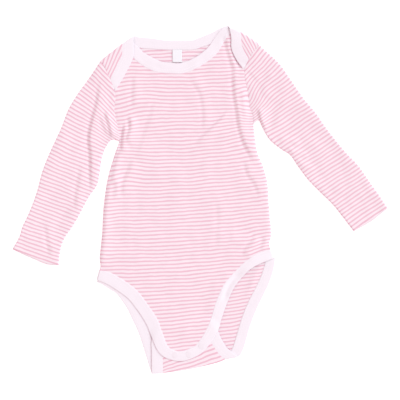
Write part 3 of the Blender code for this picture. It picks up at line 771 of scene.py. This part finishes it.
FRONT_FOLDS = [Fold(*row) for row in (
    # drawn upwards or to the right: path of its crest, width of its left or upper side and of the
    # other one, height of the ridge (a trough is below 0), cloth that it takes up, and slip
    (((70, 40), (66, 54), (57, 72), (51, 92), (48.5, 112), (45, 134), (44, 156), (45, 178)),
     2.6, 11, 1.7, 1.0, 2.2),                                 # from the right lap down the chest
    (((45, 160), (40, 180), (36, 194), (33, 208)), 3, 4, 1.7, 0.6),   # beside the right lap
    (((55, 160), (47.5, 169), (43, 178), (40, 188), (39, 200)), 2.6, 3.2, -2.0, 0.0),
    (((58, 174), (54.5, 163), (56.5, 150)), 4, 4, 0.6, 0.0),  # meeting the laps' corners
    (((-112, 151), (-107.5, 139.5), (-105.5, 128)), 4, 4, 0.6, 0.0),
    (((77, 2), (71, 20), (62, 33), (58.5, 50)), 2.6, 9, 0.9, 0.5, 1.0),
    (((62, 72), (61, 104), (57, 146)), 5, 5, -0.9, 0.0),
    (((60, 96), (56, 116), (54, 140)), 3, 4, 0.8, 0.6),
    (((-8, 66), (12, 85), (25, 98), (38, 112)), 1.8, 7, 1.5, 0.7),  # slanting up to the first one
    (((4, 80), (7, 98), (6, 118), (3, 132), (-4, 144), (-14, 154)), 2.6, 8, 0.7, 0.4),
    (((-80, 44), (-74, 60), (-65, 88), (-57, 112), (-51, 132)), 3, 12, 0.55, 0.5),
    (((-94, 0), (-93.5, 18), (-87, 36), (-80, 52)), 2.8, 9, 1.1, 0.6),
    (((-81, 112), (-81, 132), (-80, 158)), 2.8, 8, 0.8, 0.4),
    (((-92, 68), (-86, 88), (-86, 106)), 2.4, 6, 2.2, 0.8),   # out of the left armpit
    (((-97, 58), (-96, 76), (-92, 96)), 2.0, 4, 2.0, 0.8),
    (((-100.5, 62), (-98.5, 76), (-97, 90)), 2.6, 2.6, -1.6, 0.0),
    (((-104, 48), (-97, 60), (-88, 66)), 3, 5, 1.0, 0.6),
    (((-123, -90), (-123, -68), (-120, -42), (-118, -16), (-114.5, 6), (-111, 30)),
     2.6, 9, 1.7, 0.5),                                       # down the left side
    (((-110, 14), (-106, 34), (-101, 56)), 3, 6, 1.3, 0.6),
    (((-106, -4), (-103, 14), (-104, 30)), 3, 6, 0.8, 0.4),
    (((54, -72), (59, -65), (66, -56), (73, -46)), 2.8, 7, 1.4, 0.9),   # above the right leg
    (((76, -64), (80.5, -57), (84, -46)), 2.6, 4, 0.9, 0.8),
    (((34, -46), (52, -50), (70, -48)), 5, 9, 0.6, 0.4),
    (((50, -94), (66, -82), (84, -76), (96, -74)), 6, 5, 1.0, 0.0),     # along its binding
    (((29, -130), (33, -115), (41, -101), (54, -90)), 3, 3.5, -1.4, 0.0),
    (((26, -122), (30, -104), (38, -88)), 4, 9, 0.5, 0.3),
    (((24, -66), (26, -28), (25, 6)), 3, 12, 0.4, 0.2),
    (((10, -150), (16, -126), (24, -98)), 6, 10, 0.6, 0.2),
    (((-60, -136), (-40, -120), (-22, -96)), 6, 10, 0.4, 0.2),
    (((-50, -40), (-30, 0), (-22, 46)), 12, 20, 0.5, 0.1))]
FRONT_GATHERS = [Gather(*row) for row in (
    # x, y of the middle, reach, share by which cloth is drawn in, degrees by which it is turned
    (-101, 74, 32, 0.36, 0), (67, 96, 24, 0.40, 0),           # the two armpits
    (-98, 124, 34, 0, 13), (-104, 24, 18, 0, 12), (-110, -20, 22, 0, 8), (78, 72, 15, 0, 12),
    (69, -68, 19, 0, 15), (51, 134, 13, 0, 26))]

front_neck = smooth(FRONT_NECK)
front_leg = smooth(FRONT_LEG)
back_bindings = [smooth(rows) for rows in (BACK_NECK, BACK_LEG_LEFT, BACK_LEG_RIGHT)]
back_flap = smooth(BACK_FLAP)


def lay_front(flat, lift):
    """The front on the back, down on its edge at the side seams, up over the flap at the crotch."""
    crossing = np.min([distance_to(line, flat) for line in back_bindings], axis=0)
    height = FRONT_LIES + (FRONT_OVER_BINDING - FRONT_LIES) * (1 - ease(crossing, *OVER_BINDING))
    over_flap = 1 - ease(nearest(flat, back_flap)[0], *FLAP_CLEARANCE)
    height += (CROTCH_LIES - height) * over_flap
    height += ruffle(flat, FRONT_FOLDS)[0]
    from_leg = distance_to(front_leg, flat)
    height += unevenness(flat, *FRONT_WAVES) * ease(from_leg, *EVEN_AT_LEG)
    for seam in (armhole_left, armhole_right):
        height += seam_pull(flat, seam, BODY_DIP)
    side = np.minimum(distance_to(side_left, flat), distance_to(side_right, flat))
    down = 1 - np.sqrt(1 - np.clip(1 - side / SIDE_ROUNDING, 0, 1) ** 2)
    height += (SIDE_SEAM_LIES - height) * down * ease(from_leg, *SEAM_AT_LEG)
    return np.column_stack((flat, height + lift))


front_outline = np.vstack((
    within(front_neck, -1, TUCK),
    body_right[SHOULDER_RIGHT.inside(body_right) > SHOULDER_CLEARANCE],
    side_right[1:],
    within(front_leg, 1, TUCK)[::-1],
    side_left[:0:-1],
    body_left[SHOULDER_LEFT.inside(body_left) > SHOULDER_CLEARANCE][::-1]))
front_cloth = cut_cloth(front_outline, FRONT_CELL, FRONT_RIMS)
front_flat = points_of(front_cloth)[:, :2]
front_drawn = ruffle(front_flat, FRONT_FOLDS)[1] + gathered(front_flat, FRONT_GATHERS)
front_drawn += waver(front_flat, 20)
keep_cut(front_cloth, stripes(front_flat + front_drawn, FRONT_GRAIN))
front_panel = sew_up("front_panel_jersey", front_cloth, lay_front(front_flat, 0), STRIPED,
                     JERSEY, "front_panel")


# ================================================================ front bindings
# The same folded strips of rib round the front's neck edge, and from side seam to side seam round
# both legs and the end of the crotch. Their ends are caught in the armhole and side seams.
bind("neck_binding_front", front_neck, -1, lay_front)
bind("leg_binding_front", front_leg, 1, lay_front)


# ================================================================ sleeves
# Each is one piece of the striped jersey, sewn into a tube down its underarm edge and set into the
# armhole. It lies flat in two layers, and its end is turned in for a plain deep hem.
SLEEVE_LIES = 3.0           # middle of the upper layer beside the folded edges
SLEEVE_SAG = (0.6, 0.3)     # how far it sinks between them, and over what share of its width
FOLDS_START = 0.06          # share of its width over which its folds grow from its edges
SLEEVE_WAVES = ((30, 0.6, 0), (12, 0.3, 2))     # size and height of its unevenness, seed's step
SLEEVE_CELL = 1.7           # spacing of its mesh along the sleeve
LOWER_POINTS = 24           # points across its lower layer
UPPER_POINTS = 48           # points across its upper layer
HEM_DEPTH = 24.0
HEM_INSET = 0.85            # from the outer layer to the turned-in one
CAP = (0.345, 0.045, 26.0)  # share of the armhole under the lap, over what share the sleeve's cap
                            # then comes down, and how far down the sleeve it ends
SET_IN = 12.0               # how far from the armhole a sleeve still lies as the body does
SEAM_DIP = 0.2              # depth of the groove along the armhole seam, in the sleeve
MOUTH_DROP = 0.9            # how far its edge is turned down into the armhole seam
HEM_EDGE = 0.35             # how far the cloth rises over the hem's inner edge
SLEEVE_MIDDLE = (BACK_LIES + SLEEVE_LIES) / 2       # height half way between its two layers
SLEEVE_RADIUS = SLEEVE_LIES - SLEEVE_MIDDLE         # of its folded edges

SLEEVE_LEFT_OUTER = (
    # x, y from the shoulder to the cuff
    (-125, 173), (-141, 149.5), (-153, 133), (-165, 113), (-174, 90), (-186.5, 63),
    (-197, 37.5), (-204.5, 10), (-213.5, -14.5), (-223, -35), (-226, -45.5), (-235, -62))
SLEEVE_LEFT_UNDER = (
    # x, y from the armpit to the cuff
    (-101, 73), (-110.5, 74.5), (-117, 67), (-122.5, 54), (-126, 33), (-129.5, 17),
    (-139.5, 2.5), (-153, -23), (-160.5, -35.5), (-170.5, -50.5), (-175, -65.5), (-177, -82.5))
SLEEVE_LEFT_CUFF = ((-235, -62), (-220, -69.5), (-200, -78), (-189.5, -81.5), (-177, -82.5))
SLEEVE_RIGHT_OUTER = (
    # x, y as on the left
    (73.5, 194), (98.5, 171), (113, 151), (129.5, 127), (144, 110), (159, 88.5),
    (181, 61), (197.5, 43.5), (210, 26), (225, 4.5), (235, -11))
SLEEVE_RIGHT_UNDER = (
    (66.5, 94.5), (73.5, 99), (78.5, 88.5), (87.5, 74), (101, 63), (113, 55),
    (122, 42), (135, 24.5), (149.5, 9.5), (168, -9), (192, -40))
SLEEVE_RIGHT_CUFF = ((235, -11), (213, -28), (192, -40))
SLEEVE_LEFT_GRAIN = [Grain(*row) for row in (
    # place down the sleeve, the stripes' angle there
    (-113.3, 170.7, -46), (-117, 159, -45), (-129, 152, -42), (-139, 131, -37), (-147, 109, -32),
    (-154, 87, -29), (-160, 62, -26), (-166, 39, -24), (-174, 17, -22), (-182, -6, -21),
    (-190, -28, -20), (-202, -60, -19))]
SLEEVE_RIGHT_GRAIN = [Grain(*row) for row in (
    (63, 187, 51), (78, 172, 47), (94, 155, 42), (104, 133, 37), (116, 112, 35), (128, 92, 34),
    (142, 73, 33), (157, 55, 33), (172, 37, 33), (188, 18, 33), (204, -4, 34), (216, -20, 35))]
SLEEVE_LEFT_FOLDS = [Fold(*row) for row in (
    # drawn upwards: path of its crest, width of its left and right side, height, cloth taken up
    (((-133, 0), (-134.5, 28), (-134.5, 54), (-136.5, 77), (-133, 98), (-127.5, 118), (-124, 138),
      (-120, 158)), 2.6, 10, 1.9, 1.4),                        # down the sleeve
    (((-142, 34), (-143, 78), (-137, 112)), 4, 4, -0.7, 0.0),
    (((-105, 72), (-109, 84), (-113, 98), (-118, 112)), 2.4, 8, 3.0, 1.0),    # into the armpit
    (((-108, 76), (-117, 90), (-124, 106)), 2.6, 5, 1.2, 0.8),
    (((-103, 84), (-106, 100), (-108, 122)), 3, 5, 1.0, 0.6),
    (((-152, -16), (-152, 4), (-149, 22), (-146, 44)), 3, 8, 0.9, 0.4),
    (((-180, -40), (-160, -16), (-146, 12)), 5, 9, 0.8, 0.5),
    (((-184, -72), (-188, -48), (-190, -28)), 3, 8, 0.9, 0.3),
    (((-222, -48), (-206, -44), (-190, -46)), 6, 8, 0.5, 0.2),
    (((-196, 10), (-180, 60), (-164, 100)), 8, 12, 0.6, 0.2),
    (((-140, 148), (-132, 156), (-122, 160)), 4, 6, 0.7, 0.4))]
SLEEVE_LEFT_GATHERS = [Gather(-101, 76, 30, 0.50, 0), Gather(-122, 82, 16, 0, -14)]
SLEEVE_RIGHT_FOLDS = [Fold(*row) for row in (
    (((75.5, 84), (75, 99), (75.5, 115)), 2.4, 8, 1.9, 1.2),  # into the armpit
    (((73, 88), (72, 99), (72.5, 111)), 2.2, 3, -1.3, 0.0),
    (((78, 126), (84, 146), (94, 160)), 4, 8, 0.8, 0.4),
    (((92, 78), (98, 104), (112, 128)), 5, 10, 0.9, 0.4),
    (((96, 76), (112, 74), (128, 66)), 4, 6, 1.1, 0.9),       # at the elbow
    (((106, 62), (120, 60), (138, 50)), 4, 6, 1.0, 0.9),
    (((118, 50), (130, 44), (146, 34)), 4, 6, 0.8, 0.5),
    (((130, 84), (146, 66), (164, 46)), 7, 10, 0.6, 0.2),
    (((160, 8), (178, 14), (200, 26)), 8, 10, 0.5, 0.2),
    (((176, -18), (190, 0), (206, 14)), 6, 10, 0.7, 0.2),
    (((90, 160), (110, 136), (130, 110)), 8, 12, 0.5, 0.2))]
SLEEVE_RIGHT_GATHERS = [Gather(67, 97, 26, 0.45, 0), Gather(100, 104, 24, 0, 6),
                        Gather(68, 133, 17, 0, 18)]


def at(line, fraction):
    """The place at a fraction of an evenly spaced line."""
    last = len(line) - 1
    return places_on(line[:, :2], np.arange(last + 1), np.clip(fraction, 0, 1) * last)


def tube_rows(length):
    """Rows down a sleeve of a length, and back up inside its hem: how far down each one is, as a
    share of the length, and how far inside the outer layer. The first one is caught in the seam."""
    turn = HEM_INSET / 2
    last = 1 - turn / length
    rows = [(0, 0.0), (0.4 / length, 0.0)]
    rows += [(down, 0.0) for down in np.linspace(1 / length, last, round(length / SLEEVE_CELL))]
    rows += [(last + turn / length * math.sin(t), turn * (1 - math.cos(t)))
             for t in np.linspace(0, math.pi, 7)[1:-1]]
    rows += [(down, HEM_INSET) for down in np.linspace(last, 1 - HEM_DEPTH / length, 12)]
    return np.array(rows)


def tube_section():
    """Points round a sleeve from the seam at its underarm edge: the share of its width, from the
    outer edge, and the angle round a folded edge."""
    section = [(1.0, -t) for t in (0, 30, 60)]
    section += [(share, -90.0) for share in np.linspace(1, 0, LOWER_POINTS)]
    section += [(0.0, 180.0 + t) for t in (60, 30, 0, -30, -60)]
    section += [(share, 90.0) for share in np.linspace(0, 1, UPPER_POINTS)]
    section += [(1.0, t) for t in (60, 30, 0)]
    share, degrees = np.array(section).T
    return np.column_stack((share, np.radians(degrees)))


def between(outer, under, mouth, cuff, across, down):
    """Places between the four edges of a sleeve, at shares of the way across it and down it."""
    a, d = across[:, None], down[:, None]
    sides = at(outer, down) * (1 - a) + at(under, down) * a
    ends = at(mouth, across) * (1 - d) + at(cuff, across) * d
    corners = ((mouth[0, :2] * (1 - a) + mouth[-1, :2] * a) * (1 - d)
               + (cuff[0, :2] * (1 - a) + cuff[-1, :2] * a) * d)
    return sides + ends - corners


def set_in(node, mouth, shoulder, outer, under, cuff, grain, folds, gathers, seed):
    """A flattened tube from the armhole to the cuff, with its hem turned in."""
    outer, under, cuff = smooth(outer), smooth(under), smooth(cuff)
    rows, section = tube_rows(len(under) * STEP), tube_section()
    mesh, row, column = ruled_cloth(len(rows), len(section))
    down, inset = rows[row].T
    fraction, angle = section[column].T
    width = np.hypot(*(at(outer, down) - at(under, down)).T)
    edge = SLEEVE_RADIUS + JERSEY / 2
    reach = edge + fraction * (width - 2 * edge) + (SLEEVE_RADIUS - inset) * np.cos(angle)
    across = reach / width
    flat = between(outer, under, mouth, cuff, across, down)

    upper = np.clip(np.sin(angle), 0, 1)
    rise, drawn = ruffle(flat, folds)
    rise += unevenness(flat, *((size, high, seed + step) for size, high, step in SLEEVE_WAVES))
    inside = np.minimum(fraction, 1 - fraction)
    sag, sag_width = SLEEVE_SAG
    rise -= sag * ease(inside, 0, sag_width)
    rise *= np.clip(inside / FOLDS_START, 0, 1)
    under_lap, fall_off, fade = CAP
    from_mouth = distance_to(mouth, flat)
    cap = (1 - ease(across, under_lap, fall_off)) * (1 - ease(from_mouth, 0, fade))
    lap = LAP_LIES - shoulder.settled(shoulder.inside(flat) - shoulder.inset)
    body = lay_front(flat, 0)[:, 2] - seam_pull(flat, mouth, BODY_DIP)
    rise += (body - SLEEVE_LIES - rise) * (1 - ease(from_mouth, 0, SET_IN))
    rise += (lap - SLEEVE_LIES - rise) * cap
    rise += seam_pull(flat, mouth, SEAM_DIP) - MOUTH_DROP * (down == 0)
    from_cuff = distance_to(cuff, flat)
    rise += HEM_EDGE * (1 - ease(from_cuff, HEM_DEPTH - 3, 4)) * (inset == 0)
    height = SLEEVE_MIDDLE + (SLEEVE_RADIUS - inset) * np.sin(angle) + rise * upper
    drawn = (drawn + gathered(flat, gathers) + waver(flat, seed)) * upper[:, None]
    keep_cut(mesh, stripes(flat + drawn, grain))
    piece = sew_up(node + "_jersey", mesh, np.column_stack((flat, height)), STRIPED, JERSEY,
                   node)


set_in("sleeve_left", armhole_left, SHOULDER_LEFT, SLEEVE_LEFT_OUTER, SLEEVE_LEFT_UNDER,
       SLEEVE_LEFT_CUFF, SLEEVE_LEFT_GRAIN, SLEEVE_LEFT_FOLDS, SLEEVE_LEFT_GATHERS, 11)
set_in("sleeve_right", armhole_right, SHOULDER_RIGHT, SLEEVE_RIGHT_OUTER, SLEEVE_RIGHT_UNDER,
       SLEEVE_RIGHT_CUFF, SLEEVE_RIGHT_GRAIN, SLEEVE_RIGHT_FOLDS, SLEEVE_RIGHT_GATHERS, 17)


# ================================================================ snaps
# Three closed snaps of hard white plastic hold the front's end on the flap. Each has a low cap on
# the front's binding, and a socket and a stud between the layers, riveted through the cloth.
SNAPS = ((-32, -194.5), (-14.5, -193.8), (1.5, -183.8))
CAP_PROFILE = (
    # from the middle of the cap: across, up from the cloth's surface
    (0.0, 0.17), (1.4, 0.16), (2.6, 0.14), (3.6, 0.08), (4.3, 0.0), (4.4, -0.15))
SOCKET_PROFILE = (
    (0.0, 0.55), (1.2, 0.55), (1.6, 0.30), (3.2, 0.42), (4.2, 0.30), (4.4, 0.0), (4.2, -0.35),
    (2.4, -0.5), (0.0, -0.5))
SNAP_LIES = 3.25            # middle of the socket between the layers
SNAP_TURNS = 40             # facets round a snap
CAP_SINKS = 0.05            # how far a cap is pressed into the binding


def worn_plastic():
    """Hard white plastic, slightly worn to a satin."""
    worn, fresh = (0.77, 0.67, 0.73, 1), (0.80, 0.70, 0.76, 1)
    material, tree, shader = new_finish("snap")
    place = add_node(tree, "TexCoord").outputs["Object"]
    rub = add_node(tree, "TexNoise", Vector=place, Scale=700, Detail=3).outputs["Fac"]
    gloss = add_node(tree, "MapRange", Value=rub, To_Min=0.45, To_Max=0.6)
    feed(tree, shader.inputs["Base Color"], mix(tree, worn, fresh, rub))
    feed(tree, shader.inputs["Roughness"], gloss.outputs[0])
    return material


def turned(mesh, profile, centre):
    """A round part turned about the upright axis through its centre, from half its profile."""
    points = [mesh.verts.new(centre + Vector((across, 0, up))) for across, up in profile]
    edges = [mesh.edges.new(pair) for pair in zip(points, points[1:])]
    bmesh.ops.spin(mesh, geom=points + edges, cent=centre, axis=(0, 0, 1), dvec=(0, 0, 0),
                   angle=math.tau, steps=SNAP_TURNS, use_merge=True)


PLASTIC = worn_plastic()
for number, (x, y) in enumerate(SNAPS, start=1):
    parts = bmesh.new()
    on_band = lay_front(np.array([(x, y)], float), np.array([BINDING / 2]))[0, 2]
    turned(parts, CAP_PROFILE, Vector((x, y, on_band - CAP_SINKS)))
    turned(parts, SOCKET_PROFILE, Vector((x, y, SNAP_LIES)))
    sew_up(f"snap_{number}_cap_and_stud", parts, points_of(parts), PLASTIC, 0,
           f"snap_{number}")


# ================================================================ sewing
# White cotton-covered thread: two rows of stitches that hold each binding down beside its inner
# edge. On the back's bindings they show on both sides. The label is caught in them.
STITCH = 2.3                # length of a stitch
STITCH_EVERY = 3.1
STITCH_ROWS = (1.6, 4.8)    # how far inside a binding's edge the two rows run
THREAD = 0.42
CLEAR_OF_SEAM = 6.0         # where a binding is pressed thin in a seam, the rows stop short of it


def thread():
    """Soft white thread of two twisted plies, with painted shade for the grooves between the plies,
    scattered at random by noise.
    """
    # between and ply are shaded and lit copies of the thread's white: painted shade in the grooves
    # between plies
    between, ply = (0.86, 0.76, 0.83, 1), (0.94, 0.86, 0.92, 1)
    material, tree, shader = new_finish("thread", Roughness=0.75)
    place = add_node(tree, "TexCoord").outputs["Object"]
    plies = add_node(tree, "TexNoise", Vector=place, Scale=1500).outputs["Fac"]
    feed(tree, shader.inputs["Base Color"], mix(tree, between, ply, plies))
    return material


THREAD_WHITE = thread()


def sew_rows(name, lines, lay, lifts, clear):
    """Stitches along lines on a piece of the flat cut, laid with it at some heights above it."""
    mesh = bmesh.new()
    for line, lift in itertools.product(lines, lifts):
        lengths = run_of(line)
        starts = np.arange(clear, lengths[-1] - STITCH - clear, STITCH_EVERY)
        heads, tails = (places_on(line, lengths, spots) for spots in (starts, starts + STITCH))
        heads, tails = (lay(ends, np.full(len(ends), lift)) for ends in (heads, tails))
        for head, tail in zip(heads, tails):
            run = Vector(tail - head)
            shape = Matrix.Diagonal((run.length / 2, THREAD / 2, THREAD / 2, 1))
            turn = run.to_track_quat("X", "Z").to_matrix().to_4x4()
            place = Matrix.Translation(Vector(head + tail) / 2) @ turn @ shape
            bmesh.ops.create_icosphere(mesh, subdivisions=1, radius=1, matrix=place)
    sew_up(name, mesh, points_of(mesh), THREAD_WHITE, 0)


def inner_rows(path, inner):
    """The two rows of stitches on a binding, beside its inner edge."""
    return [within(path, inner, inset) for inset in STITCH_ROWS]


ON_BAND = BINDING / 2 - 0.1     # a stitch is pulled down a little into the rib
ON_BACK = (EDGE_LIFT + ON_BAND, EDGE_LIFT - ON_BAND)
neck_rows = [trim(trim(row, *left_end), *right_end) for row in inner_rows(back_neck, -1)]
for name, lines, lay, lifts, clear in (
        ("neck_stitches_back", neck_rows, lay_back, ON_BACK, 1.0),
        ("leg_stitches_back", inner_rows(back_leg, 1), lay_back, ON_BACK, CLEAR_OF_SEAM),
        ("neck_stitches_front", inner_rows(front_neck, -1), lay_front, [ON_BAND], CLEAR_OF_SEAM),
        ("leg_stitches_front", inner_rows(front_leg, 1), lay_front, [ON_BAND], CLEAR_OF_SEAM)):
    sew_rows(name, lines, lay, lifts, clear)


# ================================================================ room
# A white table in the even light of a white room, which is dimmer at the left, and one large soft
# lamp over the right shoulder.
table = bmesh.new()
bmesh.ops.create_grid(table, x_segments=1, y_segments=1, size=4.0,
                      matrix=Matrix.Translation((0, 0, -0.0004)))
table_data = bpy.data.meshes.new("table_top")
table.to_mesh(table_data)
table.free()
table_data.materials.append(new_finish(
    "table_white", Base_Color=(0.95, 0.95, 0.95, 1), Roughness=1.0, Specular_IOR_Level=0.0,
    Emission_Color=(1, 1, 1, 1), Emission_Strength=0.35)[0])
put_in_scene("table_top", table_data)

room = bpy.data.worlds.new("room")
room.use_nodes = True
walls = room.node_tree.nodes["Background"]
walls.inputs["Color"].default_value = (1.0, 0.872, 0.876, 1)
direction = add_node(room.node_tree, "TexCoord").outputs["Generated"]
to_the_right = add_node(room.node_tree, "VectorMath", {"operation": "DOT_PRODUCT"})
feed(room.node_tree, to_the_right.inputs[0], direction)
feed(room.node_tree, to_the_right.inputs[1], (0.95, 0.3, 0))
even, slope = 1.035, 0.25
brightness = add_node(room.node_tree, "MapRange", Value=to_the_right.outputs["Value"],
                      From_Min=-1, To_Min=even - slope, To_Max=even + slope)
feed(room.node_tree, walls.inputs["Strength"], brightness.outputs[0])
bpy.context.scene.world = room

lamp = bpy.data.lights.new("lamp", "SUN")
lamp.energy = 1.56
lamp.color = (0.57, 1.0, 0.98)
lamp.angle = math.radians(35)
lamp_object = put_in_scene("lamp", lamp)
lamp_object.location = (0.9, 0.6, 0.9)
lamp_object.rotation_euler = Vector(lamp_object.location).to_track_quat("Z", "Y").to_euler()

camera = bpy.data.cameras.new("camera")
camera.lens = 85
camera.sensor_width = 36
camera_object = put_in_scene("camera", camera)
camera_object.location = (-0.0003, -0.0009, 1.1846)
bpy.context.scene.camera = camera_object
bpy.context.scene.view_settings.view_transform = "Standard"
